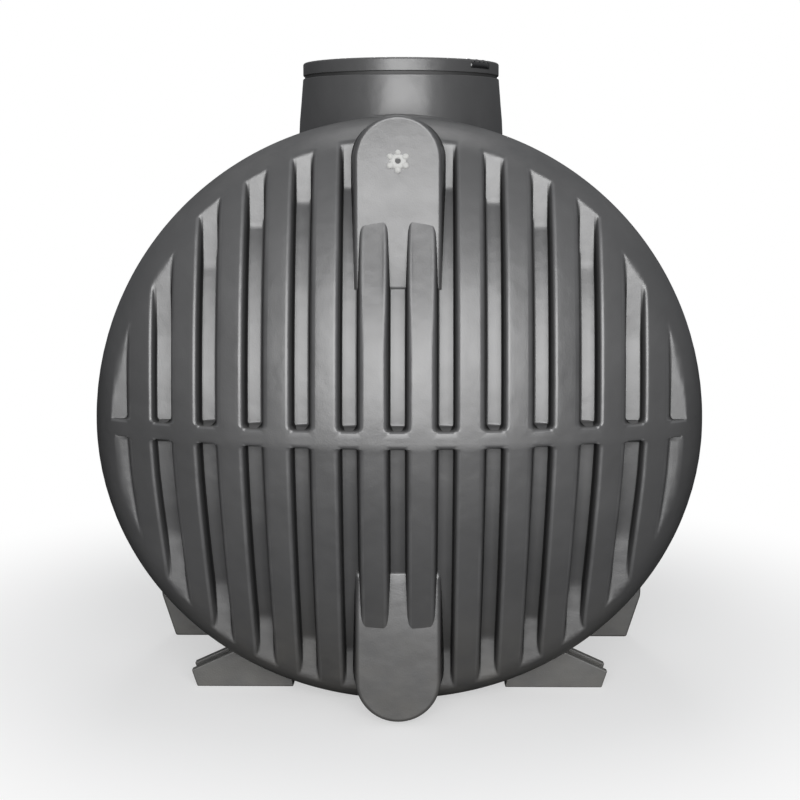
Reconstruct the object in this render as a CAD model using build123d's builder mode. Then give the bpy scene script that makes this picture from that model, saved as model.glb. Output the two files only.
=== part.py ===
# Underground water tank, moulded in polyethylene, lying on its side.
# X runs to the right, Y runs along the tank from front to rear, Z is up.
# The origin lies on the ground, under the middle of the tank.
from build123d import *
from math import cos, radians, sin, sqrt, tan
import os

os.makedirs("parts", exist_ok=True)

# Driving dimensions of the body
body_radius = 1150.0
body_length = 2540.0
crown_radius = 2180.0
knuckle_radius = 250.0
axis_height = 1085.0
lower_depth = 1078.0
wall = 14.0
fit_gap = 0.3

# Middle belt, measured from the axis
belt_top = 44.0
belt_bottom = 18.0

# Grooves of the dished ends
groove_pitch = 171.0
grooves_each_side = 6
groove_floor = 54.0
groove_depth = 82.0
groove_draft = 12.0
groove_seat = 287.0
groove_lip = 12.0
groove_reach = 60.0
groove_sweep = 60.0

# Ribs round the barrel: grooves between crests as wide as the feet and legs
rib_pitch = 640.0 / 3
ribs_each_side = 4
rib_floor = 44.0
rib_depth = 62.0

# Connection pad and drain nose on each end
pad_width = 308.0
pad_setback = 145.0
pad_top = 1145.0
pad_foot = 530.0
pad_edge = 14.0
nose_bottom = 1068.0
nose_head = 500.0
pilot_radius = 10.0
pilot_depth = 8.0
nib_radius = 13.0
nib_height = 4.0
nib_circle = 31.0
nib_count = 6

# Manhole neck, seal, lid and catch
neck_base_radius = 432.5
neck_top_radius = 414.0
neck_bore = 400.0
neck_top = 1332.0
neck_land = 60.0
neck_foot = 960.0
seal_height = 12.0
seal_outer = 407.0
seal_inner = 401.0
lid_radius = 413.5
lid_height = 56.0
lid_plate = 16.0
lid_rim = 20.0
lid_edge = 6.0
lid_clearance = 0.3
lid_rib = 8.0
lid_rib_drop = 22.0
lid_rib_count = 8
lid_hub = 90.0
catch_angle = 53.6
catch_width = 95.0
catch_height = 26.0
catch_depth = 16.0
catch_drop = 10.0

# Feet near the ends and legs at the middle
foot_front = 700.0
foot_depth = 120.0
foot_corner = 803.0
foot_tip = 825.0
foot_tip_height = 67.0
foot_shoulder = 600.0
foot_shoulder_height = 170.0
foot_inner = 420.0
channel_width = 60.0
channel_depth = 22.0
leg_depth = 120.0
leg_corner = 992.0
leg_knee = 1050.0
leg_knee_height = 185.0
leg_hip = 1062.0
leg_top_height = 690.0
leg_inner = 700.0

# Sizes that follow from them
half_length = body_length / 2
crown_centre = crown_radius - half_length
tangent_reach = sqrt((crown_radius - knuckle_radius) ** 2 - (body_radius - knuckle_radius) ** 2)
barrel_half = tangent_reach - crown_centre
lower_scale = lower_depth / body_radius
seat_plane = half_length - groove_seat
pad_plane = half_length - pad_setback
pad_radius = pad_width / 2
big = 2 * body_length
neck_foot_bore = neck_base_radius - wall
lid_bottom = neck_top + seal_height + lid_clearance
lid_top = lid_bottom + lid_height

def half_form(inset):
    """Upper front quarter of the smooth body, shrunk all round by inset."""
    crown = crown_radius - inset
    knuckle = knuckle_radius - inset
    radius = body_radius - inset
    share = crown / (crown_radius - knuckle_radius)
    join = ((body_radius - knuckle_radius) * share, crown_centre - tangent_reach * share)
    apex = (0, crown_centre - crown)
    with BuildPart() as form:
        with BuildSketch(Plane.XY):
            with BuildLine():
                RadiusArc(apex, join, -crown)
                RadiusArc(join, (radius, -barrel_half), -knuckle)
                Polyline((radius, -barrel_half), (radius, 0), (0, 0), apex)
            make_face()
        revolve(axis=Axis((0, 0, 0), (0, -1, 0)), revolution_arc=180)
    return form.part


def groove_cutters(inset, belt_edge):
    """The upper grooves of the front end, grown all round by inset."""
    floor_radius = crown_radius - groove_depth - inset
    lip_radius = crown_radius - groove_lip
    slope = tan(radians(groove_draft))
    with BuildPart() as cutters:
        with BuildSketch(Plane.XY):
            for number in range(-grooves_each_side, grooves_each_side + 1):
                middle = number * groove_pitch
                half = groove_floor / 2 + inset
                foot_y = crown_centre - sqrt(floor_radius**2 - middle**2)
                outline = []
                for side in (-1, 1):
                    foot_x = middle + side * half
                    lip_y = crown_centre - sqrt(lip_radius**2 - foot_x**2)
                    lip_x = foot_x + side * slope * (foot_y - lip_y)
                    if inset > 0:
                        edge = (lip_x + side * slope * groove_reach, lip_y - groove_reach)
                        points = [(foot_x, foot_y), edge]
                    else:
                        edge = (lip_x + side * groove_reach, lip_y - groove_reach)
                        points = [(foot_x, foot_y), (lip_x, lip_y), edge]
                    outline += points if side > 0 else points[::-1]
                with BuildLine():
                    Polyline(*outline, close=True)
                make_face()
        revolve(axis=Axis((0, crown_centre, 0), (-1, 0, 0)), revolution_arc=groove_sweep)
        with Locations((0, -seat_plane + inset, belt_edge - inset)):
            Box(big, big, big, align=(Align.CENTER, Align.MAX, Align.MIN), mode=Mode.INTERSECT)
    return cutters.part


def rib_cutters(inset, belt_edge):
    """The upper grooves round the front half of the barrel, grown all round by inset."""
    floor_x = body_radius - rib_depth - inset
    lip_x = body_radius - groove_lip
    slope = tan(radians(groove_draft))
    half = rib_floor / 2 + inset
    with BuildPart() as cutters:
        with BuildSketch(Plane.XY):
            for number in range(ribs_each_side):
                middle = -(number + 0.5) * rib_pitch
                outline = []
                for side in (-1, 1):
                    foot_y = middle + side * half
                    lip_y = foot_y + side * slope * (lip_x - floor_x)
                    if inset > 0:
                        edge = (lip_x + groove_reach, lip_y + side * slope * groove_reach)
                        points = [(floor_x, foot_y), edge]
                    else:
                        edge = (lip_x + groove_reach, lip_y + side * groove_reach)
                        points = [(floor_x, foot_y), (lip_x, lip_y), edge]
                    outline += points if side > 0 else points[::-1]
                with BuildLine():
                    Polyline(*outline, close=True)
                make_face()
        revolve(axis=Axis((0, 0, 0), (0, -1, 0)), revolution_arc=180)
        with Locations((0, 0, belt_edge - inset)):
            Box(big, big, big, align=(Align.CENTER, Align.CENTER, Align.MIN), mode=Mode.INTERSECT)
    return cutters.part


def grooved_form(inset, belt_edge):
    """Upper front quarter of the body with all its grooves, shrunk by inset."""
    with BuildPart() as form:
        add(half_form(inset))
        add(groove_cutters(inset, belt_edge), mode=Mode.SUBTRACT)
        add(rib_cutters(inset, belt_edge), mode=Mode.SUBTRACT)
    return form.part


def lowered(shape):
    """Turn an upper quarter into the shallower lower one."""
    return scale(mirror(shape, about=Plane.XY), by=(1, 1, lower_scale))


def shell_quarter(belt_edge):
    """Front quarter of the hollow body, above the axis."""
    with BuildPart() as shell:
        add(grooved_form(0, belt_edge))
        add(grooved_form(wall, belt_edge), mode=Mode.SUBTRACT)
    return shell.part


def kept_between(shape, low, high):
    """The stretch of a shape inside the box from low to high, on the ground frame."""
    with BuildPart() as piece:
        add(shape)
        middle = [(a + b) / 2 for a, b in zip(low, high)]
        size = [b - a for a, b in zip(low, high)]
        with Locations(tuple(middle)):
            Box(*size, mode=Mode.INTERSECT)
    return piece.part


def finish(shape, name):
    """Lift a piece from the axis to its height above the ground and write it."""
    piece = Pos(0, 0, axis_height) * shape
    piece.label = name
    export_step(piece, f"parts/{name}.step")
    return piece


# Upper and lower front quarters of the shell
upper_quarter = shell_quarter(belt_top)
lower_quarter = lowered(shell_quarter(belt_bottom / lower_scale))

with BuildPart() as front_half:
    add(upper_quarter)
    add(lower_quarter)

with BuildPart() as barrel:
    add(kept_between(front_half.part, (-big, -barrel_half, -big), (big, 0, big)))
    mirror(about=Plane.XZ)

# The dished ends, cut off at the tangent line and at the belt
for end, flip in (("front", False), ("rear", True)):
    for level, low, high in (
        ("end_upper", belt_top, big),
        ("mid_belt", -belt_bottom, belt_top),
        ("end_lower", -big, -belt_bottom),
    ):
        piece = kept_between(front_half.part, (-big, -big, low), (big, -barrel_half, high))
        if flip:
            piece = mirror(piece, about=Plane.XZ)
        finish(piece, f"{end}_{level}")

# The barrel, open under the neck and split at the belt and along the top
with BuildPart() as open_barrel:
    add(barrel.part)
    Cylinder(neck_foot_bore, big, align=(Align.CENTER, Align.CENTER, Align.MIN), mode=Mode.SUBTRACT)

for side, sign in (("left", -1), ("right", 1)):
    reach = sorted((0, sign * big))
    for level, low, high in (
        ("barrel_upper", belt_top, big),
        ("barrel_belt", -belt_bottom, belt_top),
        ("barrel_lower", -big, -belt_bottom),
    ):
        piece = kept_between(open_barrel.part, (reach[0], -big, low), (reach[1], big, high))
        finish(piece, f"{level}_{side}")

# What rests against the body is cut back from it by the fit gap
upper_seat = grooved_form(-fit_gap, belt_top)
lower_seat = lowered(grooved_form(-fit_gap, belt_bottom / lower_scale))
upper_seats = [upper_seat, mirror(upper_seat, about=Plane.XZ)]
lower_seats = [lower_seat, mirror(lower_seat, about=Plane.XZ)]

# Neck of the manhole, seated on the crown of the barrel
with BuildPart() as neck:
    with BuildSketch(Plane.XZ):
        with BuildLine():
            Polyline(
                (neck_bore, neck_top),
                (neck_top_radius, neck_top),
                (neck_base_radius, neck_foot),
                (neck_foot_bore, neck_foot),
                (neck_bore, neck_top - neck_land),
                close=True,
            )
        make_face()
    revolve(axis=Axis.Z)
    add(upper_seats, mode=Mode.SUBTRACT)
finish(neck.part, "manhole_neck")

with BuildPart() as seal:
    with BuildSketch(Plane.XY.offset(neck_top)):
        Circle(seal_outer)
        Circle(seal_inner, mode=Mode.SUBTRACT)
    extrude(amount=seal_height)
finish(seal.part, "lid_seal")

# Lid with a deep rim, and the pocket for its catch
catch_x = sin(radians(catch_angle))
catch_y = -cos(radians(catch_angle))
catch_plane = Plane(
    origin=(lid_radius * catch_x, lid_radius * catch_y, lid_top - catch_drop - catch_height / 2),
    x_dir=(-catch_y, catch_x, 0),
    z_dir=(catch_x, catch_y, 0),
)
with BuildPart() as lid:
    with BuildSketch(Plane.XY.offset(lid_bottom)):
        Circle(lid_radius)
    extrude(amount=lid_height)
    with BuildSketch(Plane.XY.offset(lid_bottom)):
        Circle(lid_radius - lid_rim)
    extrude(amount=lid_height - lid_plate, mode=Mode.SUBTRACT)
    fillet(lid.edges().filter_by(GeomType.CIRCLE).group_by(Axis.Z)[-1], lid_edge)
    with BuildSketch(Plane.XY.offset(lid_top - lid_plate)):
        with PolarLocations(0, lid_rib_count // 2, angular_range=180):
            Rectangle(2 * lid_radius - lid_rim, lid_rib)
        Circle(lid_hub)
        Circle(lid_hub - lid_rib, mode=Mode.SUBTRACT)
    extrude(amount=-lid_rib_drop)
    with BuildSketch(catch_plane.offset(-catch_depth)):
        Rectangle(catch_width, catch_height)
    extrude(amount=2 * catch_depth, mode=Mode.SUBTRACT)
finish(lid.part, "lid")

with BuildPart() as catch:
    with BuildSketch(catch_plane.offset(fit_gap - catch_depth)):
        Rectangle(catch_width - 2 * fit_gap, catch_height - 2 * fit_gap)
    extrude(amount=2 * catch_depth)
    with Locations((0, 0, lid_bottom)):
        Cylinder(lid_radius, 2 * lid_height, mode=Mode.INTERSECT)
finish(catch.part, "lid_catch")


def boss_form(margin, head, foot):
    """Flat-faced boss with a round top, from its face back to the tangent line."""
    with BuildPart() as form:
        with BuildSketch(Plane.XZ.offset(pad_plane - margin)):
            with Locations((0, head - pad_radius)):
                Circle(pad_radius - margin)
            with Locations((0, head - pad_radius)):
                Rectangle(
                    2 * (pad_radius - margin),
                    head - pad_radius - foot - margin,
                    align=(Align.CENTER, Align.MAX),
                )
        extrude(amount=barrel_half - pad_plane + margin)
        if margin == 0:
            fillet(form.faces().sort_by(Axis.Y)[0].edges(), pad_edge)
    return form.part


def boss(head, foot, body):
    """Hollow boss seated on the grooved end."""
    with BuildPart() as shell:
        add(boss_form(0, head, foot))
        add(boss_form(wall, head, foot), mode=Mode.SUBTRACT)
        add(body, mode=Mode.SUBTRACT)
    return shell.part


pad_centre = pad_top - pad_radius
nose_seat = mirror(lower_seat, about=Plane.XY)

with BuildPart() as pad:
    add(boss(pad_top, pad_foot, upper_seat))
    with BuildSketch(Plane.XZ.offset(pad_plane)):
        with Locations((0, pad_centre)):
            Circle(pilot_radius)
    extrude(amount=-pilot_depth, mode=Mode.SUBTRACT)

nose_upright = boss(nose_bottom, nose_head, nose_seat)
nose = mirror(nose_upright, about=Plane.XY)

with BuildPart() as mark:
    with BuildSketch(Plane.XZ.offset(pad_plane)):
        with Locations((0, pad_centre)):
            Circle(nib_circle)
            with PolarLocations(nib_circle, nib_count, start_angle=90):
                Circle(nib_radius)
            Circle(pilot_radius, mode=Mode.SUBTRACT)
    extrude(amount=nib_height)

for end, flip in (("front", False), ("rear", True)):
    for name, shape in (("connection_pad", pad.part), ("drain_nose", nose), ("pilot_mark", mark.part)):
        piece = mirror(shape, about=Plane.XZ) if flip else shape
        finish(piece, f"{end}_{name}")

# Low feet near the ends, with a channel along the top, and tall legs at the middle


def foot_block(drop, depth):
    """Left foot seen from the front, its top lowered by drop."""
    with BuildPart() as block:
        with BuildSketch(Plane.XZ.offset(foot_front - (foot_depth - depth) / 2)):
            with BuildLine():
                Polyline(
                    (-foot_corner + drop, -axis_height),
                    (-foot_tip + drop, foot_tip_height - drop - axis_height),
                    (-foot_shoulder, foot_shoulder_height - drop - axis_height),
                    (-foot_inner, foot_shoulder_height - drop - axis_height),
                    (-foot_inner, -axis_height),
                    close=True,
                )
            make_face()
        extrude(amount=-depth)
    return block.part


with BuildPart() as foot:
    add(foot_block(0, foot_depth))
    add(foot_block(0, channel_width), mode=Mode.SUBTRACT)
    add(foot_block(channel_depth, channel_width))
    add(lower_seats, mode=Mode.SUBTRACT)

with BuildPart() as leg:
    with BuildSketch(Plane.XZ.offset(leg_depth / 2)):
        with BuildLine():
            Polyline(
                (-leg_corner, -axis_height),
                (-leg_knee, leg_knee_height - axis_height),
                (-leg_hip, leg_top_height - axis_height),
                (-leg_inner, leg_top_height - axis_height),
                (-leg_inner, -axis_height),
                close=True,
            )
        make_face()
    extrude(amount=-leg_depth)
    add(lower_seats, mode=Mode.SUBTRACT)

for name, shape, flip in (("front_foot", foot, False), ("rear_foot", foot, True), ("middle_leg", leg, False)):
    left = mirror(shape.part, about=Plane.XZ) if flip else shape.part
    finish(left, f"{name}_left")
    finish(mirror(left, about=Plane.YZ), f"{name}_right")
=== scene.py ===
# %% [markdown]
# # A moulded water tank for under the ground
#
# The tank is one hollow moulding in dark grey polyethylene. It lies on its
# side, with a grooved dished end at the front and the rear, ribs round the
# barrel, a manhole neck on top and moulded feet below. The solid model is
# loaded first and stays fixed: everything here is fitted to it, in metres,
# with Z up and the front end towards minus Y.

# %% Load the fixed frame
from math import asin, atan2, cos, degrees, exp, hypot, pi, radians, sin, sqrt, tan

import bmesh
import bpy
from mathutils import Matrix, Vector


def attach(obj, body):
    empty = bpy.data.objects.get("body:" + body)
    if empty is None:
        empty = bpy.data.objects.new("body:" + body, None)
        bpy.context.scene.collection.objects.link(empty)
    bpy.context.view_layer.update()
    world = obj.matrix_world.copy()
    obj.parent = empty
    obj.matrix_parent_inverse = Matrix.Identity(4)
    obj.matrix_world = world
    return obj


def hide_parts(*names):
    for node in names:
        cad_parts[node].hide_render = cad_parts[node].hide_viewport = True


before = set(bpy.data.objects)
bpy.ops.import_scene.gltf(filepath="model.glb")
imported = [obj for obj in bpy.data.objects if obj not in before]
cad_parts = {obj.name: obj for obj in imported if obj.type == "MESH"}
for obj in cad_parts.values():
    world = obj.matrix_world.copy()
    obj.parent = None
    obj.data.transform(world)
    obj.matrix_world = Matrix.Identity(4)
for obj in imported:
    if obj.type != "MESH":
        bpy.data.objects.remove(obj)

scene = bpy.context.scene
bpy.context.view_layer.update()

# %% [markdown]
# ## Camera
#
# The picture is taken from in front of the tank, a little above its middle.
# A long lens keeps the round end round. The small vertical shift stands for
# a picture that was cropped below its optical middle, which keeps upright
# lines upright without tilting the camera further.

# %% Camera
camera_place = (0.0616, -6.3195, 2.0413)
camera_yaw = -0.0104
camera_dip = 0.1234
camera_data = bpy.data.cameras.new("camera")
camera_data.sensor_width = 36
camera_data.lens = 66.03
camera_data.shift_y = -0.0611
camera = bpy.data.objects.new("camera", camera_data)
camera.location = camera_place
looking = Vector((sin(camera_yaw) * cos(camera_dip), cos(camera_yaw) * cos(camera_dip), -sin(camera_dip)))
camera.rotation_euler = looking.to_track_quat("-Z", "Y").to_euler()
scene.collection.objects.link(camera)
scene.camera = camera
scene.view_settings.view_transform = "Standard"
print("camera looks down by", round(degrees(camera_dip), 1), "degrees")

# %% [markdown]
# ## Small helpers for nodes
#
# A finish is a network of nodes. Written out link by link it is long and
# hard to read, so each kind of step gets a short function here, which takes
# sockets and gives one back. The steps can then be read like a sum.


# %% Nodes with their values
def add_node(tree, kind, **values):
    """A new node: in_0, in_1 and so on set its inputs, and other names its settings."""
    made = tree.nodes.new(kind)
    for key, value in values.items():
        if key.startswith("in_"):
            made.inputs[int(key[3:])].default_value = value
        else:
            setattr(made, key, value)
    return made


def noise(tree, coordinate, scale, detail, rough=0.5):
    """Noise on the object's own coordinates, from 0 to 1."""
    made = tree.nodes.new("ShaderNodeTexNoise")
    made.inputs["Scale"].default_value = scale
    made.inputs["Detail"].default_value = detail
    made.inputs["Roughness"].default_value = rough
    tree.links.new(coordinate, made.inputs["Vector"])
    return made.outputs["Fac"]


def upward_part(tree, vector):
    """The Z of a vector."""
    made = tree.nodes.new("ShaderNodeSeparateXYZ")
    tree.links.new(vector, made.inputs[0])
    return made.outputs["Z"]


# %% Sums with sockets
def spread_over(tree, value, low, high, to_low, to_high):
    """Map one range of values onto another, clamped."""
    made = add_node(tree, "ShaderNodeMapRange", in_1=low, in_2=high, in_3=to_low, in_4=to_high)
    tree.links.new(value, made.inputs[0])
    return made.outputs[0]


def times(tree, first, second):
    """Product of a socket and another socket or a plain number."""
    made = add_node(tree, "ShaderNodeMath", operation="MULTIPLY")
    tree.links.new(first, made.inputs[0])
    if isinstance(second, (int, float)):
        made.inputs[1].default_value = second
    else:
        tree.links.new(second, made.inputs[1])
    return made.outputs[0]


def tinted(tree, share, under, over):
    """Mix two colours by a share; each may be a colour or a socket."""
    made = add_node(tree, "ShaderNodeMix", data_type="RGBA")
    tree.links.new(share, made.inputs[0])
    for number, value in ((6, under), (7, over)):
        if isinstance(value, tuple):
            made.inputs[number].default_value = (*value, 1)
        else:
            tree.links.new(value, made.inputs[number])
    return made.outputs[2]


def either_shader(tree, share, first, second):
    """The first shader where the share is 0, and the second where it is 1."""
    made = tree.nodes.new("ShaderNodeMixShader")
    for number, socket in enumerate((share, first, second)):
        tree.links.new(socket, made.inputs[number])
    return made.outputs[0]


# %% [markdown]
# ## Floor, backdrop and light
#
# The floor is one large pale sheet. The world is plain white to the camera
# and a soft grey to the object, so that the backdrop stays white while the
# grooves stay deep. The floor fades to the same white a little away from the
# tank, and throws little light back up. A large soft lamp in front does most
# of the work: polyethylene has a soft sheen, and what faces the lamp turns
# pale while what turns away from it stays dark.

# %% Floor
floor_reach = 30
floor_mesh = bmesh.new()
bmesh.ops.create_grid(floor_mesh, x_segments=1, y_segments=1, size=floor_reach)
floor_data = bpy.data.meshes.new("floor")
floor_mesh.to_mesh(floor_data)
floor_mesh.free()
floor = bpy.data.objects.new("floor", floor_data)
scene.collection.objects.link(floor)

# %% Finish of the floor
floor_seen = (0.92, 0.92, 0.92)
floor_unseen = (0.03, 0.03, 0.03)
fade_from = 1.3
fade_to = 2.9
floor_finish = bpy.data.materials.new("pale_floor")
floor_finish.use_nodes = True
floor_tree = floor_finish.node_tree
floor_shader = floor_tree.nodes["Principled BSDF"]
floor_shader.inputs["Roughness"].default_value = 0.9
floor_shader.inputs["Specular IOR Level"].default_value = 0.1
to_camera = floor_tree.nodes.new("ShaderNodeLightPath").outputs["Is Camera Ray"]
floor_colour = tinted(floor_tree, to_camera, floor_unseen, floor_seen)
floor_tree.links.new(floor_colour, floor_shader.inputs["Base Color"])
away = add_node(floor_tree, "ShaderNodeVectorMath", operation="LENGTH")
floor_place = floor_tree.nodes.new("ShaderNodeTexCoord").outputs["Object"]
floor_tree.links.new(floor_place, away.inputs[0])
fade = spread_over(floor_tree, away.outputs["Value"], fade_from, fade_to, 0.5, 1)
fade.node.interpolation_type = "SMOOTHSTEP"
floor_white = floor_tree.nodes.new("ShaderNodeEmission").outputs[0]
whitened = times(floor_tree, fade, to_camera)
floor_surface = either_shader(floor_tree, whitened, floor_shader.outputs[0], floor_white)
floor_tree.links.new(floor_surface, floor_tree.nodes["Material Output"].inputs["Surface"])
floor_data.materials.append(floor_finish)
print("floor is white from", fade_to, "m away")

# %% World
low_sky = 0.12
high_sky = 0.38
world = bpy.data.worlds.new("studio")
scene.world = world
world.use_nodes = True
world_tree = world.node_tree
world_tree.nodes.clear()
sky_height = upward_part(world_tree, world_tree.nodes.new("ShaderNodeTexCoord").outputs["Generated"])
soft_grey = add_node(world_tree, "ShaderNodeBackground", in_0=(0.95, 0.97, 1.0, 1))
sky_level = spread_over(world_tree, sky_height, 0.0, 0.9, low_sky, high_sky)
world_tree.links.new(sky_level, soft_grey.inputs["Strength"])
plain_white = add_node(world_tree, "ShaderNodeBackground", in_0=(1, 1, 1, 1), in_1=1.0)
to_camera = world_tree.nodes.new("ShaderNodeLightPath").outputs["Is Camera Ray"]
backdrop = either_shader(world_tree, to_camera, soft_grey.outputs[0], plain_white.outputs[0])
world_out = world_tree.nodes.new("ShaderNodeOutputWorld")
world_tree.links.new(backdrop, world_out.inputs["Surface"])
print("sky goes from", low_sky, "to", high_sky)


# %% Soft lamps
def soft_lamp(name, place, target, width, height, watts):
    """A rectangular lamp at a place, turned towards a target."""
    data = bpy.data.lights.new(name, "AREA")
    data.shape = "RECTANGLE"
    data.size = width
    data.size_y = height
    data.energy = watts
    lamp = bpy.data.objects.new(name, data)
    lamp.location = place
    aim = Vector(target) - Vector(place)
    lamp.rotation_euler = aim.to_track_quat("-Z", "Y").to_euler()
    scene.collection.objects.link(lamp)
    return lamp


front_lamp = soft_lamp("front_lamp", (0.45, -9.2, 2.75), (0, -1.2, 1.6), 8.0, 5.4, 960)
top_lamp = soft_lamp("top_lamp", (0, 0, 6.4), (0, 0, 1), 3.0, 3.0, 40)
rear_lamp = soft_lamp("rear_lamp", (0, 8.6, 2.6), (0, 1, 1.6), 1.8, 4.0, 260)
print("lamps:", front_lamp.name, top_lamp.name, rear_lamp.name)

# %% [markdown]
# ## Sizes
#
# These are the sizes of the tank, in metres. The crown of each end is part
# of a large sphere, and the knuckle is the tighter curve that leads from the
# crown to the barrel. Heights are given from the axis of the barrel until a
# piece is finished, and are lifted to the ground then. The lower half of the
# tank is the upper half upside down, and a little shallower.

# %% Sizes of the body
axis_height = 1.085
body_radius = 1.150
half_length = 1.270
crown_radius = 2.180
knuckle_radius = 0.250
lower_share = 1.078 / body_radius
wall = 0.014
crown_centre = crown_radius - half_length
knuckle_ring = body_radius - knuckle_radius
join_angle = asin(knuckle_ring / (crown_radius - knuckle_radius))
crown_arc = crown_radius * join_angle
barrel_half = (crown_radius - knuckle_radius) * cos(join_angle) - crown_centre
meridian_length = crown_arc + knuckle_radius * (pi / 2 - join_angle)
print("half of the barrel", round(barrel_half, 4), "meridian", round(meridian_length, 4))

# %% Sizes of the grooves
# The seat of a groove is the flat upright plane that its floor ends on. It is
# given by its distance from the middle of the tank.
groove_pitch = 0.171
grooves_each_side = 6
groove_floor = 0.054
groove_depth = 0.082
groove_seat = 0.983
rib_pitch = 0.640 / 3
ribs_each_side = 4
rib_floor = 0.044
rib_depth = 0.062
lip_radius = 0.020
draft_angle = 7
draft = tan(radians(draft_angle))
print("draft of a groove's wall", round(draft, 4))

# %% [markdown]
# ## The profile of a groove
#
# A groove has a rounded lip, a wall with a little draft so that it leaves
# the mould, and a flat floor. `wall_depth` gives how deep the wall has gone
# at a distance from the middle of the groove. `smaller` picks the smaller of
# two depths, but blends them where they are nearly equal, which rounds the
# corner between them as a real moulding is rounded.


# %% Profile of a groove
def mouth_of(floor_width, depth):
    """Distance from the middle of a groove to where its lip begins."""
    return floor_width / 2 + depth * draft + lip_radius * tan(radians(45 - draft_angle / 2))


def wall_depth(distance, mouth):
    """How deep the groove's wall has gone at a distance from its middle."""
    if distance >= mouth:
        return 0.0
    reach = lip_radius * cos(radians(draft_angle))
    if distance > mouth - reach:
        return lip_radius - sqrt(lip_radius**2 - (mouth - distance) ** 2)
    start = lip_radius * (1 - sin(radians(draft_angle)))
    return start + (mouth - reach - distance) / draft


def smaller(a, b, blend):
    """The smaller of two depths, with a rounded change from one to the other."""
    near = max(blend - abs(a - b), 0) / blend
    return min(a, b) - near * near * blend / 4


groove_mouth = mouth_of(groove_floor, groove_depth)
rib_mouth = mouth_of(rib_floor, rib_depth)
print("groove mouth", round(groove_mouth, 4), "rib mouth", round(rib_mouth, 4))


# %% Places across a groove
# The first place on the wall lies wall_start beyond the edge of the floor.
lip_angles = (66, 54, 42, 30, 18, 6, 0)
wall_start = 0.002


def places_across(mouth, floor_width, pitch):
    """Distances from the middle of a groove, close together where it curves."""
    edge = floor_width / 2
    turn = mouth - lip_radius * cos(radians(draft_angle))
    level = [0, edge * 0.65, edge * 0.91, edge, edge + wall_start, (edge + turn) / 2, turn]
    lip = [mouth - lip_radius * sin(radians(angle)) for angle in lip_angles]
    return level + lip + [(mouth + pitch / 2) / 2, pitch / 2]


# %% Columns across an end
# A column is its place, the middle of its groove and the distance to that.
last_groove_column = 1.09
rim_columns = (1.095, 1.113, 1.126, 1.136, 1.143, 1.1475, 1.1495, body_radius)
end_columns = {}
for number in range(-grooves_each_side, grooves_each_side + 1):
    middle = number * groove_pitch
    for side in (-1, 1):
        for distance in places_across(groove_mouth, groove_floor, groove_pitch):
            x = round(middle + side * distance, 6)
            if abs(x) < last_groove_column:
                end_columns[x] = (x, middle, distance)
for x in rim_columns:
    end_columns[x] = (x, None, 1)
    end_columns[-x] = (-x, None, 1)
end_columns = [end_columns[x] for x in sorted(end_columns)]
print("columns across an end:", len(end_columns))

# %% [markdown]
# ## Moulded plastic
#
# Polyethylene from a rotating mould is never one flat colour: it has cloudy
# patches, a fine orange peel that comes from the mould wall, and dust that
# lies on what faces up. The lips of the grooves are painted pale, partly as
# wear from handling and partly as a painted highlight on their round edges.
# Their walls are duller and carry painted shade in their colour. So do the
# rows under the belt of the lower half and the sides of the bosses. Each of
# these is a small change in colour, gloss or height, worked out from the
# place on the object. Where it follows the grooves, the mesh carries a
# number that says how pale a lip is, and one that says how much painted
# shade it gets.

# %% Colours of wear, dust and painted shade
dust_colour = (0.27, 0.262, 0.25)
mud_colour = (0.145, 0.135, 0.112)
# The near-black of the painted shade in the groove walls, under the belt of the lower half and on the
# sides of the bosses.
painted_shade_colour = (0.010, 0.010, 0.010)
mud_height = 0.55


def shaded(colour, share):
    """A colour made paler or darker by a share."""
    return tuple(min(1, part * share) for part in colour)


def clouded(tree, place, colour):
    """Cloudy patches with fine pale specks."""
    clouds = spread_over(tree, noise(tree, place, 2.2, 5, 0.6), 0.3, 0.7, 0, 1)
    specks = spread_over(tree, noise(tree, place, 420, 2), 0.62, 0.75, 0, 0.12)
    base = tinted(tree, clouds, shaded(colour, 0.88), shaded(colour, 1.14))
    return tinted(tree, specks, base, shaded(colour, 1.8))


def worn_and_highlit_pale(tree, place, base, colour):
    """Pale lips of the grooves: scuffs of wear, and partly a painted highlight on their round edges."""
    worn_and_highlit = add_node(tree, "ShaderNodeAttribute", attribute_name="worn_and_highlit").outputs["Fac"]
    scuffs = spread_over(tree, noise(tree, place, 9, 6, 0.7), 0.35, 0.7, 0.15, 0.6)
    return tinted(tree, times(tree, worn_and_highlit, scuffs), base, shaded(colour, 1.9))


def dusted(tree, place, base, dusty):
    """Dust on what faces up, and dried mud near the ground."""
    facing = upward_part(tree, tree.nodes.new("ShaderNodeNewGeometry").outputs["Normal"])
    lying = spread_over(tree, facing, 0.45, 1.0, 0, 1)
    settled = spread_over(tree, noise(tree, place, 5, 8, 0.65), 0.35, 0.75, 0, dusty)
    base = tinted(tree, times(tree, lying, settled), base, dust_colour)
    low = spread_over(tree, upward_part(tree, place), 0.0, mud_height, 1, 0)
    splashes = spread_over(tree, noise(tree, place, 7, 7, 0.6), 0.3, 0.7, 0.02, 0.35)
    return tinted(tree, times(tree, low, splashes), base, mud_colour)


# %% Height of the skin
wave_height = 0.0028


def bumped(tree, height, distance, before=None):
    """A bump of a given real height, on top of an earlier one."""
    made = tree.nodes.new("ShaderNodeBump")
    made.inputs["Strength"].default_value = 1.0
    made.inputs["Distance"].default_value = distance
    tree.links.new(height, made.inputs["Height"])
    if before is not None:
        tree.links.new(before, made.inputs["Normal"])
    return made.outputs["Normal"]


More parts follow.
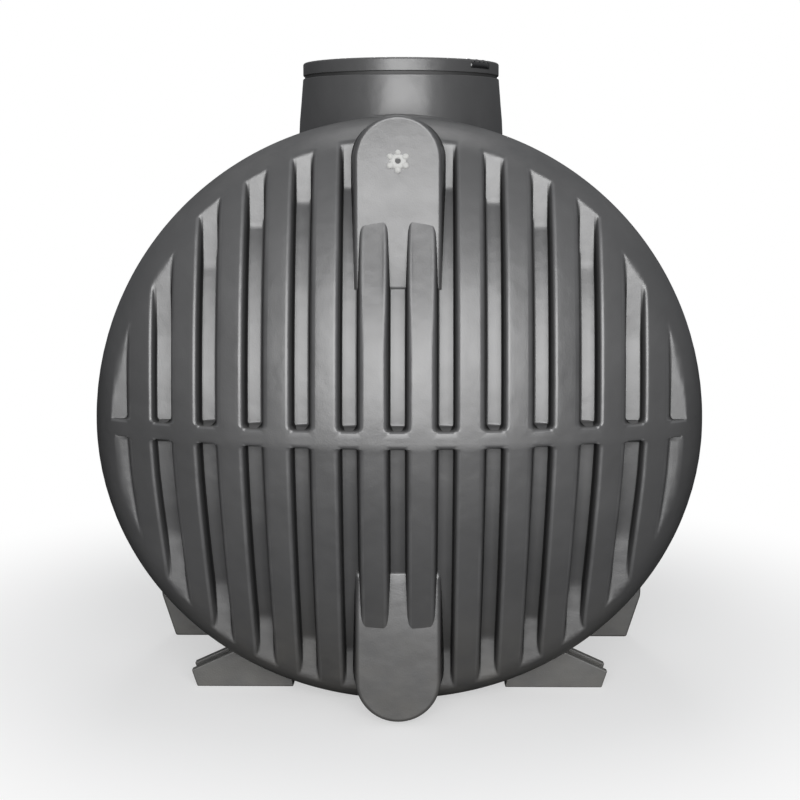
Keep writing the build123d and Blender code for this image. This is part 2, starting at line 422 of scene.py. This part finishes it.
# %% The moulded finish
def moulded_plastic(name, colour, rough_low, rough_high, peel=0.0003, dusty=0.3):
    """Grey polyethylene with clouds, orange peel, lips pale from wear and a painted highlight, dull walls
    with painted shade, and dust.
    """
    finish = bpy.data.materials.new(name)
    finish.use_nodes = True
    tree = finish.node_tree
    shader = tree.nodes["Principled BSDF"]
    place = tree.nodes.new("ShaderNodeTexCoord").outputs["Object"]
    painted_shade = add_node(tree, "ShaderNodeAttribute", attribute_name="painted_shade").outputs["Fac"]
    base = clouded(tree, place, colour)
    # Lips made pale: partly wear, partly a painted highlight.
    base = worn_and_highlit_pale(tree, place, base, colour)
    base = dusted(tree, place, base, dusty)
    # Painted shade: where the mesh says so, the colour goes most of the way to near black, and the gloss
    # and sheen drop there too.
    base = tinted(tree, times(tree, painted_shade, 0.85), base, painted_shade_colour)
    tree.links.new(base, shader.inputs["Base Color"])
    gloss = spread_over(tree, noise(tree, place, 3.5, 6, 0.6), 0.3, 0.7, rough_low, rough_high)
    gloss = tinted(tree, painted_shade, gloss, (0.8, 0.8, 0.8))
    tree.links.new(gloss, shader.inputs["Roughness"])
    shader.inputs["Specular IOR Level"].default_value = 1.0
    shine = spread_over(tree, painted_shade, 0, 1, 1.0, 0.15)
    tree.links.new(shine, shader.inputs["Specular IOR Level"])
    waves = bumped(tree, noise(tree, place, 9, 2), wave_height)
    skin = bumped(tree, noise(tree, place, 170, 3), peel, waves)
    tree.links.new(skin, shader.inputs["Normal"])
    return finish


shell_colour = (0.062, 0.062, 0.063)
tank_grey = moulded_plastic("tank_polyethylene", shell_colour, 0.35, 0.42)
neck_grey = moulded_plastic("neck_polyethylene", shell_colour, 0.35, 0.43)
lid_grey = moulded_plastic("lid_polyethylene", shell_colour, 0.38, 0.46, 0.0004)
foot_grey = moulded_plastic("foot_polyethylene", (0.062, 0.062, 0.061), 0.42, 0.52, 0.0006, 0.35)
seal_black = moulded_plastic("seal_rubber", (0.014, 0.014, 0.014), 0.6, 0.7, 0.0002, 0.1)
catch_black = moulded_plastic("catch_plastic", (0.012, 0.012, 0.013), 0.22, 0.34, 0.0001, 0.1)
mark_pale = moulded_plastic("rubbed_mark", (0.36, 0.36, 0.35), 0.5, 0.6, 0.0010, 0.1)
print("finishes:", len(bpy.data.materials))

# %% [markdown]
# ## From a mesh to a piece
#
# Each piece is shaped round the axis of the barrel. When it is done, it is
# lifted to its height above the ground and gets its finish. It is hung from an
# empty for the body that it rides on, and it hides the solids of the frame that
# it stands for. An open skin gets the wall of the moulding from a
# Solidify modifier, inwards, so that its outside stays where it is.


# %% Turn a mesh into a piece of the tank
def make_piece(mesh, name, body, finish, nodes, thickness=0.0):
    """Lift a mesh to its height above the ground and fit it to the frame."""
    bmesh.ops.translate(mesh, vec=(0, 0, axis_height), verts=mesh.verts)
    for edge in mesh.edges:
        if edge.is_boundary:
            edge.smooth = False
    for face in mesh.faces:
        face.smooth = True
    data = bpy.data.meshes.new(name)
    mesh.to_mesh(data)
    mesh.free()
    data.materials.append(finish)
    piece = bpy.data.objects.new(name, data)
    scene.collection.objects.link(piece)
    if thickness:
        skin = piece.modifiers.new("wall", "SOLIDIFY")
        skin.thickness = thickness
        skin.offset = -1
    else:
        even = piece.modifiers.new("even_light", "WEIGHTED_NORMAL")
        even.keep_sharp = True
    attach(piece, body)
    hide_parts(*nodes)
    print(name, "has", len(data.polygons), "faces")
    return piece


def flipped(mesh, x=1, y=1, z=1):
    """Scale a mesh about the axis, and turn its faces back if that mirrors it."""
    bmesh.ops.scale(mesh, vec=(x, y, z), verts=mesh.verts)
    if x * y * z < 0:
        bmesh.ops.reverse_faces(mesh, faces=mesh.faces)
    return mesh


def face_outward(skin, direction):
    """Recalculate an open skin's normals, so that on the whole they point one way."""
    bmesh.ops.recalc_face_normals(skin, faces=skin.faces)
    if sum(face.normal.dot(direction) * face.calc_area() for face in skin.faces) < 0:
        bmesh.ops.reverse_faces(skin, faces=skin.faces)


def note_wear_and_painted_light(vert, worn_and_highlit, painted_shade, depth, in_painted_shade):
    """Say how pale the lip is at a vertex (wear and a painted highlight) and how much painted shade it
    gets, from its depth in a groove.
    """
    vert[worn_and_highlit] = 1.0 if 0.0004 < depth < 0.007 else 0.0
    vert[painted_shade] = min(1, max(0, depth - 0.008) / 0.030) if in_painted_shade else 0.0


# %% [markdown]
# ## The dished ends
#
# Each end is a crown and a knuckle with thirteen upright grooves above and
# below a plain belt. It could be cut with booleans, but rounded lips are
# hard to get that way. Instead a flat grid is bent over the dome: its
# columns stand close together on the lips and walls of the grooves, and its
# rows climb from the belt to the rim. The grooves are then pressed in, each
# as deep as its floor, its seat and the belt allow. The lower half is set
# back a little behind the belt, and its outer grooves lean to the middle.


# %% The smooth dome
def dome_at(arc):
    """Distance from the axis and place along Y, at an arc length from the apex."""
    if arc < crown_arc:
        angle = arc / crown_radius
        return crown_radius * sin(angle), crown_centre - crown_radius * cos(angle)
    angle = join_angle + (arc - crown_arc) / knuckle_radius
    return knuckle_ring + knuckle_radius * sin(angle), -barrel_half - knuckle_radius * cos(angle)


def arc_to(radius):
    """Arc length from the apex to a distance from the axis."""
    if radius < crown_radius * sin(join_angle):
        return crown_radius * asin(radius / crown_radius)
    across = min(1, (radius - knuckle_ring) / knuckle_radius)
    return crown_arc + knuckle_radius * (asin(across) - join_angle)


# %% Rows from the belt to the rim
# Each step is a height above the edge of the belt, and the depth that a
# groove may have there: a rounded lip, then the steep wall under the belt.
# The last rows set no limit.
belt_lip = 0.010
no_limit = 1.0
belt_steps = [
    (-belt_lip, 0.0), (-0.0070, 0.0006), (-0.0030, 0.0029), (-0.0008, 0.0061), (0.0, belt_lip),
    (0.0014, 0.0350), (0.0028, 0.0580), (0.0042, 0.0740), (0.0062, 0.0800),
    (0.0095, no_limit), (0.0140, no_limit), (0.0210, no_limit),
]
# The other rows are shares of the way up to the rim, closer towards it.
climb_rows = [0.5 * k / 20 for k in range(1, 20)] + [0.5 + 0.5 * k / 44 for k in range(0, 45)]


def belt_rows(edge):
    """Heights near the belt, and how deep a groove may be at each."""
    plain = [(0.0, 0.0), ((edge - belt_lip) / 2, 0.0)]
    return plain + [(edge + rise, limit) for rise, limit in belt_steps]


print("rows up an end:", len(belt_rows(0)) + len(climb_rows))


# %% Depth of the grooves
# One value for each groove, from the middle one outwards: how much nearer
# the front its seat lies, and how much shallower its floor is.
upper_ledges = (0, 0, 0, -0.002, -0.0057, 0.016, 0.005)
lower_ledges = (0, 0, 0, 0, 0.001, 0.013, 0.018)
floor_rise = (0, 0, 0, 0, 0, 0.021, 0.021)
seat_blend = 0.003
wall_blend = 0.004


def groove_at(middle, number, distance, y, z, ledges, limit):
    """How far behind the dome the skin lies at one place."""
    if middle is None or distance >= groove_mouth:
        return 0.0
    swing = atan2(z, crown_centre - y)
    out = hypot(z, crown_centre - y)
    floor_out = sqrt((crown_radius - groove_depth + floor_rise[number]) ** 2 - middle**2)
    seat_out = (crown_centre + groove_seat + ledges[number]) / cos(swing)
    deepest = smaller(out - floor_out, out - seat_out, seat_blend)
    depth = smaller(wall_depth(distance, groove_mouth), deepest, wall_blend)
    return max(0.0, min(depth, limit))


# %% Round corners beside the belt
corner_radius = 0.016


def tucked(distance, rise, mouth, floor_width, pitch):
    """Distance from the middle of a groove, drawn in near the belt for a round corner."""
    over = corner_radius - max(rise, 0)
    if over <= 0:
        return distance
    tuck = corner_radius - sqrt(corner_radius**2 - over**2)
    if distance < floor_width / 2:
        return distance * (1 - tuck / (floor_width / 2))
    return distance - tuck * min(1, (pitch / 2 - distance) / (pitch / 2 - mouth))


# %% Lean of the grooves and flat ribs under the pad
lean_starts = 0.07
lean_measured_at = 0.86
lean_ends = (1.0, 1.15)
flat_depth = 0.011
flat_from = 0.30
flat_reach = 0.50
flat_across = (0.032, 0.140)
flat_blend = 0.022


def leaning(x, z, lean):
    """Place across the end, drawn towards the middle as a groove leads away from the belt."""
    start, end = lean_ends
    inside = 1 - min(1, max(0, (hypot(x, z) - start) / (end - start))) ** 2
    return x * (1 - lean * (abs(x) / lean_measured_at) ** 1.4 * max(0, z - lean_starts) * inside)


def flattened(x, z):
    """How much the two ribs below the pad are flattened, so that they run on from it."""
    near, far = flat_across
    along = min(1, max(0, (z - flat_from) / flat_reach))
    across = max(0, min(1, (abs(x) - near) / flat_blend, (far - abs(x)) / flat_blend))
    return flat_depth * 27 / 4 * along**2 * (1 - along) * across


# %% Press the grooves into half an end
rim_taper = 0.16
recess_reach = 0.22
recess_ease = 0.04


def end_half(edge, ledges, recess, lean):
    """Upper half of the front end as an open skin, set back behind the belt by recess."""
    near = belt_rows(edge)
    last = len(near) + len(climb_rows) - 1
    wide = len(end_columns) - 1
    skin = bmesh.new()
    worn_and_highlit = skin.verts.layers.float.new("worn_and_highlit")
    painted_shade = skin.verts.layers.float.new("painted_shade")
    bmesh.ops.create_grid(skin, x_segments=wide, y_segments=last, size=1)
    for vert in skin.verts:
        x, middle, distance = end_columns[round((vert.co.x + 1) / 2 * wide)]
        row = round((vert.co.y + 1) / 2 * last)
        number = round(abs(middle or 0) / groove_pitch)
        shrink = min(1, sqrt(max(0, body_radius**2 - x * x)) / rim_taper)
        if row < len(near):
            z, limit = near[row]
            if middle is not None and row >= 2:
                side = 1 if x > middle else -1
                x = middle + side * tucked(distance, z - edge, groove_mouth, groove_floor, groove_pitch)
            z *= shrink
            y = dome_at(arc_to(hypot(x, z)))[1]
        else:
            limit = no_limit
            start = arc_to(hypot(x, near[-1][0] * shrink))
            climb = climb_rows[row - len(near)]
            radius, y = dome_at(start + (meridian_length - start) * climb)
            z = sqrt(max(0, radius**2 - x * x))
            if lean and middle is not None:
                middle = leaning(middle, z, lean)
                x = leaning(x, z, lean)
                z = sqrt(max(0, radius**2 - x * x))
        depth = groove_at(middle, number, distance, y, z, ledges, limit)
        if row < len(near):
            y += depth
        else:
            swing = atan2(z, crown_centre - y)
            y += depth * cos(swing)
            z -= depth * sin(swing)
        if recess:
            fade = 1 - min(1, hypot(x, z) / body_radius) ** 4
            ease = min(1, max(0, z / recess_ease))
            y += recess * (1 - exp(-z / recess_reach)) * fade * ease
        else:
            y += flattened(x, z)
        vert.co = (x, y, z)
        # Groove walls get painted shade. In the lower half, so do the rows just under the belt, where the
        # belt's shadow falls.
        in_painted_shade = distance > groove_floor / 2 - wall_start / 2 or (recess and row < len(near) - 1)
        note_wear_and_painted_light(vert, worn_and_highlit, painted_shade, depth, in_painted_shade)
    bmesh.ops.remove_doubles(skin, verts=skin.verts, dist=0.00002)
    face_outward(skin, Vector((0, -1, 0)))
    return skin


# %% The four halves of the ends
belt_top = 0.044
belt_bottom = 0.018 / lower_share
lower_recess = 0.014
lower_lean = 0.088
for end, along in (("front", 1), ("rear", -1)):
    upper = flipped(end_half(belt_top, upper_ledges, 0, 0), y=along)
    make_piece(upper, f"{end}_upper_dish", "tank", tank_grey,
               [f"{end}_end_upper", f"{end}_mid_belt"], wall)
    lower = end_half(belt_bottom, lower_ledges, lower_recess, lower_lean)
    lower = flipped(lower, y=along, z=-lower_share)
    make_piece(lower, f"{end}_lower_dish", "tank", tank_grey,
               [f"{end}_end_lower"], wall)

# %% [markdown]
# ## The barrel
#
# The barrel is made in the same way: a grid is wrapped round half a
# cylinder, and the grooves between the ribs are pressed in. They stop at
# the belt, as the grooves of the ends do. The upper half is open under the
# neck, so that a person can climb in.

# %% Columns along the barrel and rows round it
barrel_columns = {round(side * barrel_half, 6): (1, 1) for side in (-1, 1)}
for number in range(-ribs_each_side, ribs_each_side):
    middle = (number + 0.5) * rib_pitch
    for distance in places_across(rib_mouth, rib_floor, rib_pitch):
        for side in (-1, 1):
            y = round(middle + side * distance, 6)
            if abs(y) < barrel_half - 0.0005:
                barrel_columns[y] = (middle, distance)
barrel_columns = [(y, *barrel_columns[y]) for y in sorted(barrel_columns)]
turn_rows = [radians(5 + 2.5 * k) for k in range(0, 69)]
print("columns along the barrel:", len(barrel_columns))


def barrel_rows(edge):
    """Angle or height, side and depth limit for each row round the barrel."""
    near = belt_rows(edge)
    right = [("height", z, 1, limit) for z, limit in near]
    left = [("height", z, -1, limit) for z, limit in reversed(near)]
    return right + [("angle", turn, 1, no_limit) for turn in turn_rows] + left


# %% Press the grooves into half the barrel
rib_blend = 0.009


def rib_groove(distance):
    """Depth of the groove between two ribs, at a distance from its middle."""
    return smaller(wall_depth(distance, rib_mouth), rib_depth, rib_blend)


def barrel_half_skin(edge):
    """Upper half of the barrel as an open skin."""
    rows = barrel_rows(edge)
    tall = len(rows) - 1
    long = len(barrel_columns) - 1
    skin = bmesh.new()
    worn_and_highlit = skin.verts.layers.float.new("worn_and_highlit")
    painted_shade = skin.verts.layers.float.new("painted_shade")
    bmesh.ops.create_grid(skin, x_segments=tall, y_segments=long, size=1)
    for vert in skin.verts:
        kind, value, side, limit = rows[round((vert.co.x + 1) / 2 * tall)]
        y, middle, distance = barrel_columns[round((vert.co.y + 1) / 2 * long)]
        depth = min(rib_groove(distance), limit)
        if kind == "height" and value > edge - belt_lip - 0.0001 and distance < rib_pitch / 2:
            ahead = 1 if y > middle else -1
            y = middle + ahead * tucked(distance, value - edge, rib_mouth, rib_floor, rib_pitch)
        if kind == "height":
            x = side * (sqrt(body_radius**2 - value**2) - depth)
            z = value
        else:
            x = (body_radius - depth) * cos(value)
            z = (body_radius - depth) * sin(value)
        vert.co = (x, y, z)
        # The walls of the grooves between the ribs get painted shade.
        note_wear_and_painted_light(vert, worn_and_highlit, painted_shade, depth, distance > rib_floor / 2 - wall_start / 2)
    face_outward(skin, Vector((0, 0, 1)))
    return skin


# %% Height of the barrel's skin under the neck
neck_seam = 0.4255
seam_drop = 0.002


def saddle(x, y):
    """Height of the ribbed barrel above the axis at a place seen from above."""
    number = min(ribs_each_side - 1, max(-ribs_each_side, int(y // rib_pitch)))
    depth = rib_groove(abs(y - (number + 0.5) * rib_pitch))
    return sqrt((body_radius - depth) ** 2 - x * x)


# %% The two halves of the barrel
upper_barrel = barrel_half_skin(belt_top)
under_neck = [
    face for face in upper_barrel.faces
    if all(hypot(vert.co.x, vert.co.y) < neck_seam for vert in face.verts)
]
bmesh.ops.delete(upper_barrel, geom=under_neck, context="FACES")
for vert in upper_barrel.verts:
    away = hypot(vert.co.x, vert.co.y)
    if vert.is_boundary and away < 0.5:
        x, y = vert.co.x * neck_seam / away, vert.co.y * neck_seam / away
        vert.co = (x, y, saddle(x, y) - seam_drop)
make_piece(upper_barrel, "upper_barrel", "tank", tank_grey,
           ["barrel_upper_left", "barrel_upper_right", "barrel_belt_left", "barrel_belt_right"], wall)

lower_barrel = flipped(barrel_half_skin(belt_bottom), z=-lower_share)
make_piece(lower_barrel, "lower_barrel", "tank", tank_grey,
           ["barrel_lower_left", "barrel_lower_right"], wall)

# %% [markdown]
# ## Connection pads and drain noses
#
# A pipe is joined to a flat place, so each end has a flat pad at the top
# and a flat nose at the foot. Each starts as half a circle with two long
# sides, is pulled back into the end, and gets a generous rounded rim. The
# head of the pad leans forward a little, and the upper face of the nose
# leans back into the end, so both are cut into levels before they are bent.

# %% Sizes of the bosses
# A boss widens by the share boss_draft for each metre behind its face, and
# only what lies in front of bent_before follows the lean of the face.
boss_plane = 1.125
boss_radius = 0.154
boss_edge = 0.014
boss_sink = 0.10
boss_draft = 0.12 / boss_radius
bent_before = -1.08
pad_head = 1.145
pad_foot = 0.530
pad_lean = 0.022
pad_lean_reach = 0.29
nose_head = 1.068
nose_foot = 0.500
nose_lean = 0.016
nose_lean_share = 0.62


def leant(z, head):
    """How far the face of the pad leans forward at a height near its head."""
    return pad_lean * max(0, (z - head + pad_lean_reach) / pad_lean_reach) ** 2


# %% Outline of a boss, pulled back into the end
def boss_block(head, foot):
    """A flat-faced block with a round head at the top and its face to the front."""
    boss = bmesh.new()
    bmesh.ops.create_circle(boss, segments=64, radius=boss_radius)
    under = [vert for vert in boss.verts if vert.co.y < -0.0001]
    bmesh.ops.delete(boss, geom=under, context="VERTS")
    for vert in boss.verts:
        vert.co = (vert.co.x, -boss_plane, head - boss_radius + vert.co.y)
    ends = [vert for vert in boss.verts if len(vert.link_edges) == 1]
    feet = bmesh.ops.extrude_vert_indiv(boss, verts=ends)["verts"]
    for vert in feet:
        vert.co.z = foot
    boss.edges.new(feet)
    front = bmesh.ops.contextual_create(boss, geom=boss.edges[:])["faces"]
    back = bmesh.ops.extrude_face_region(boss, geom=front)["geom"]
    for vert in (g for g in back if isinstance(g, bmesh.types.BMVert)):
        y = dome_at(arc_to(min(body_radius, hypot(vert.co.x, vert.co.z))))[1]
        vert.co.y = min(-0.80, y + boss_sink)
        vert.co.x *= 1 + boss_draft * (vert.co.y + boss_plane)
    bmesh.ops.recalc_face_normals(boss, faces=boss.faces)
    return boss


# %% Rounded rim and bent face of a boss
def flat_boss(head, foot, lean_back=0.0):
    """A boss with a rounded rim, its face bent forward at the head or back at the foot."""
    boss = boss_block(head, foot)
    rim = [e for e in boss.edges if all(abs(v.co.y + boss_plane) < 0.0001 for v in e.verts)]
    bmesh.ops.bevel(boss, geom=rim, offset=boss_edge, segments=5, affect="EDGES",
                    profile=0.5, material=-1, clamp_overlap=True)
    # Everything behind the rounded rim, which is the sides of the boss, gets painted shade.
    painted_shade = boss.verts.layers.float.new("painted_shade")
    for vert in boss.verts:
        vert[painted_shade] = 1.0 if vert.co.y > 0.004 - boss_plane + boss_edge else 0.0
    tall = head - foot
    for level in range(1, 12):
        share = level * 0.09 * nose_lean_share if lean_back else 1 - level * 0.04
        bmesh.ops.bisect_plane(boss, geom=boss.verts[:] + boss.edges[:] + boss.faces[:],
                               plane_co=(0, 0, foot + tall * share), plane_no=(0, 0, 1))
    for vert in boss.verts:
        share = max(0, 1 - (vert.co.z - foot) / (tall * nose_lean_share))
        if vert.co.y < bent_before:
            vert.co.y += lean_back * share**2 if lean_back else -leant(vert.co.z, head)
    return boss


for end, along in (("front", 1), ("rear", -1)):
    pad = flipped(flat_boss(pad_head, pad_foot), y=along)
    make_piece(pad, f"{end}_pad", "tank", tank_grey, [f"{end}_connection_pad"])
    nose = flipped(flat_boss(nose_head, nose_foot, nose_lean), y=along, z=-1)
    make_piece(nose, f"{end}_nose", "tank", tank_grey, [f"{end}_drain_nose"])

# %% [markdown]
# ## Pilot marks
#
# A small mark on each pad shows where to bore for a pipe. It is a low ring
# with six rounded nibs that have been scuffed pale, round a thin black disc
# that is painted shade for the dimple in its middle. The ring is spun from
# its section, and the nibs are flattened balls.

# %% Ring and nibs of the pilot mark
pilot_height = 0.985
pilot_bore = 0.0095
pilot_back = -0.0010
nib_radius = 0.0125
nib_circle = 0.031
nib_count = 6


def pilot_mark():
    """Ring and nibs of a mark that faces up, centred on the axis."""
    mark = bmesh.new()
    rows = [(pilot_bore, 0.0006), (0.0120, 0.0022), (0.0200, 0.0022), (0.0290, 0.0012),
            (0.0300, pilot_back), (pilot_bore, pilot_back)]
    loop = [mark.verts.new((r, 0, z)) for r, z in rows]
    edges = [mark.edges.new(pair) for pair in zip(loop, loop[1:] + loop[:1])]
    bmesh.ops.spin(mark, geom=loop + edges, cent=(0, 0, 0), axis=(0, 0, 1),
                   angle=2 * pi, steps=36, use_merge=True)
    for number in range(nib_count):
        turn = Matrix.Rotation(number * 2 * pi / nib_count, 3, "Z")
        nib = bmesh.ops.create_uvsphere(mark, u_segments=18, v_segments=10, radius=nib_radius)["verts"]
        bmesh.ops.scale(mark, vec=(0.95, 1.05, 0.30), verts=nib)
        bmesh.ops.translate(mark, vec=(0, nib_circle, 0), verts=nib)
        bmesh.ops.rotate(mark, cent=(0, 0, 0), matrix=turn, verts=nib)
    return mark


def set_on_pad(mesh, along):
    """Turn a flat mark upright and set it on the pad of one end."""
    bmesh.ops.rotate(mesh, cent=(0, 0, 0), matrix=Matrix.Rotation(pi / 2, 3, "X"), verts=mesh.verts)
    bmesh.ops.translate(mesh, vec=(0, -boss_plane - leant(pilot_height, pad_head), pilot_height),
                        verts=mesh.verts)
    bmesh.ops.recalc_face_normals(mesh, faces=mesh.faces)
    return flipped(mesh, y=along)


for end, along in (("front", 1), ("rear", -1)):
    make_piece(set_on_pad(pilot_mark(), along), f"{end}_pilot_ring", "tank",
               mark_pale, [f"{end}_pilot_mark"])
    # The dimple is a thin black disc in the seal's finish, painted shade for the hollow in the middle of
    # the ring.
    dimple_shade = bmesh.new()
    bmesh.ops.create_cone(dimple_shade, cap_ends=True, segments=32, radius1=0.0098, radius2=0.0096, depth=0.001)
    make_piece(set_on_pad(dimple_shade, along), f"{end}_pilot_dimple_shade", "tank",
               seal_black, [f"{end}_pilot_mark"])

# %% [markdown]
# ## Neck, seal and lid
#
# The neck is a tapered ring, so it is spun from its section. Its foot has a
# small hollow curve where it flows into the barrel, and follows the ribs
# below it. The lid is spun too, with a rounded edge and a deep rim.


# %% Spin a section round the upright axis
def spun(section, steps):
    """A closed ring or disc from a section of (radius, height) pairs."""
    ring = bmesh.new()
    verts = [ring.verts.new((r, 0, z)) for r, z in section]
    edges = [ring.edges.new(pair) for pair in zip(verts, verts[1:])]
    if section[0][0] > 0.0001:
        edges.append(ring.edges.new((verts[-1], verts[0])))
    bmesh.ops.spin(ring, geom=verts + edges, cent=(0, 0, 0), axis=(0, 0, 1),
                   angle=2 * pi, steps=steps, use_merge=True)
    bmesh.ops.remove_doubles(ring, verts=ring.verts, dist=0.00002)
    bmesh.ops.recalc_face_normals(ring, faces=ring.faces)
    return ring


# %% Manhole neck
# The points of the foot are drawn far below the rest, and are then set at
# their height above or below the ribbed barrel.
sunk = -10
neck_section = [
    (0.4000, 1.3300), (0.4015, 1.3320), (0.4115, 1.3320), (0.4138, 1.3305),
    (0.4144, 1.3280), (0.4172, 1.2950), (0.4230, 1.2250), (0.4290, 1.1600),
    (0.4325, sunk + 0.0230), (0.4345, sunk + 0.0110), (0.4390, sunk + 0.0035),
    (0.4470, sunk - 0.0005), (0.4475, sunk - 0.0080), (0.4300, sunk - 0.0120),
    (0.4185, sunk - 0.0130), (0.4170, sunk + 0.0050), (0.4000, 1.2720),
]
neck = spun(neck_section, 180)
for vert in neck.verts:
    if vert.co.z < sunk / 2:
        vert.co.z = saddle(vert.co.x, vert.co.y) + vert.co.z - sunk
make_piece(neck, "neck_ring", "tank", neck_grey, ["manhole_neck"])

# %% Section of the lid
lid_base = 1.3443
lid_top = 1.3975
lid_radius = 0.4135
lid_edge = 0.008
lid_wall = 0.016
rim_inside = 0.3935
lid_section = [(0.0, lid_top - 0.0010), (0.36, lid_top - 0.0010), (0.372, lid_top - 0.0006),
               (0.380, lid_top), (lid_radius - lid_edge, lid_top)]
for angle in (22.5, 45, 67.5, 90):
    lid_section.append((lid_radius - lid_edge + lid_edge * sin(radians(angle)),
                        lid_top - lid_edge + lid_edge * cos(radians(angle))))
lid_section += [
    (lid_radius, lid_base + 0.003), (lid_radius - 0.002, lid_base),
    (rim_inside + 0.002, lid_base), (rim_inside, lid_base + 0.002), (rim_inside, lid_top - 0.020),
    (rim_inside - 0.004, lid_top - lid_wall), (0.0, lid_top - lid_wall),
]
lid = spun(lid_section, 144)
print("lid is", round(lid_top - lid_base, 4), "m tall")

# %% Ribs under the lid and lumps on its edge
lid_rib_size = (0.79, 0.008, 0.024)
lump_turns = (44, 51, 58)
for number in range(4):
    rib = bmesh.ops.create_cube(lid, size=1)["verts"]
    bmesh.ops.scale(lid, vec=lid_rib_size, verts=rib)
    bmesh.ops.translate(lid, vec=(0, 0, lid_top - 0.026), verts=rib)
    bmesh.ops.rotate(lid, cent=(0, 0, 0), matrix=Matrix.Rotation(number * pi / 4, 3, "Z"), verts=rib)
for turn in lump_turns:
    lump = bmesh.ops.create_uvsphere(lid, u_segments=16, v_segments=8, radius=0.012)["verts"]
    bmesh.ops.scale(lid, vec=(1.0, 0.7, 0.45), verts=lump)
    bmesh.ops.translate(lid, vec=(0, -lid_radius + 0.016, lid_top - 0.003), verts=lump)
    bmesh.ops.rotate(lid, cent=(0, 0, 0), matrix=Matrix.Rotation(radians(turn), 3, "Z"), verts=lump)
make_piece(lid, "manhole_lid", "lid", lid_grey, ["lid"])

# %% Catch in the rim of the lid
# Each block is its place along the rim, its width, its rise and its height.
catch_turn = radians(52.5)
catch_blocks = [(0.0, 0.128, 0.0, 0.0240)]
catch_blocks += [(k * 0.031, 0.013, 0.0135, 0.005) for k in (-1.5, -0.5, 0.5, 1.5)]
catch = bmesh.new()
for along, width, rise, tall in catch_blocks:
    block = bmesh.ops.create_cube(catch, size=1)["verts"]
    bmesh.ops.scale(catch, vec=(width, 0.016, tall), verts=block)
    bmesh.ops.translate(catch, vec=(along, -lid_radius + 0.0062, lid_top - 0.023 + rise), verts=block)
long_edges = [edge for edge in catch.edges if edge.calc_length() > 0.05]
bmesh.ops.subdivide_edges(catch, edges=long_edges, cuts=7, use_grid_fill=True)
for vert in catch.verts:
    vert.co.y += lid_radius - sqrt(lid_radius**2 - vert.co.x**2)
bmesh.ops.rotate(catch, cent=(0, 0, 0), matrix=Matrix.Rotation(catch_turn, 3, "Z"), verts=catch.verts)
bmesh.ops.recalc_face_normals(catch, faces=catch.faces)
make_piece(catch, "rim_catch", "lid", catch_black, ["lid_catch"])

# %% [markdown]
# ## Feet and legs
#
# Four low feet near the ends keep the tank from rolling, and two tall legs
# carry its middle. Each is an outline that is extruded to its thickness and
# gets rounded edges. The feet have a channel along the top, between two
# flanges.


# %% Extrude an outline along the tank
def block_between(mesh, outline, front, back, round_by):
    """Add a block with an outline in X and Z, from a front to a back place."""
    corners = [mesh.verts.new((x, front, z)) for x, z in outline]
    face = mesh.faces.new(corners)
    extruded = bmesh.ops.extrude_face_region(mesh, geom=[face])["geom"]
    moved = [g for g in extruded if isinstance(g, bmesh.types.BMVert)]
    bmesh.ops.translate(mesh, vec=(0, back - front, 0), verts=moved)
    whole = set(corners + moved)
    edges = [e for e in mesh.edges if e.verts[0] in whole and e.verts[1] in whole]
    bmesh.ops.bevel(mesh, geom=edges, offset=round_by, segments=3, affect="EDGES",
                    profile=0.5, material=-1, clamp_overlap=True)


# %% A foot and a leg
ground = -axis_height
channel_depth = 0.022
flange_round = 0.005
web_round = 0.002
leg_round = 0.008
leg_half = 0.060


def foot_outline(drop):
    """Outline of a left foot, its top lowered by drop."""
    return [
        (-0.803 + drop, ground), (-0.825 + drop, ground + 0.067 - drop),
        (-0.600, ground + 0.170 - drop), (-0.450, ground + 0.150 - drop), (-0.420, ground),
    ]


def left_foot():
    """Two flanges with a lower web between them."""
    foot = bmesh.new()
    block_between(foot, foot_outline(0), -0.700, -0.670, flange_round)
    block_between(foot, foot_outline(0), -0.610, -0.580, flange_round)
    block_between(foot, foot_outline(channel_depth), -0.671, -0.609, web_round)
    bmesh.ops.recalc_face_normals(foot, faces=foot.faces)
    return foot


def left_leg():
    """Tall leg beside the middle of the barrel."""
    leg = bmesh.new()
    outline = [(-0.992, ground), (-1.050, ground + 0.185), (-1.062, ground + 0.690),
               (-0.960, ground + 0.690), (-0.700, ground + 0.300), (-0.700, ground)]
    block_between(leg, outline, -leg_half, leg_half, leg_round)
    bmesh.ops.recalc_face_normals(leg, faces=leg.faces)
    return leg


# %% Feet and legs on both sides
for side, across in (("left", 1), ("right", -1)):
    for end, along in (("front", 1), ("rear", -1)):
        foot = flipped(left_foot(), x=across, y=along)
        make_piece(foot, f"{end}_foot_{side}_block", "tank", foot_grey,
                   [f"{end}_foot_{side}"])
    leg = flipped(left_leg(), x=across)
    make_piece(leg, f"middle_leg_{side}_block", "tank", foot_grey,
               [f"middle_leg_{side}"])

# %% [markdown]
# ## Finish on the solid that stays
#
# The seal is right as it comes, so it only gets its finish.

# %% Seal
for seal_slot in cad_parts["lid_seal"].material_slots:
    seal_slot.material = seal_black
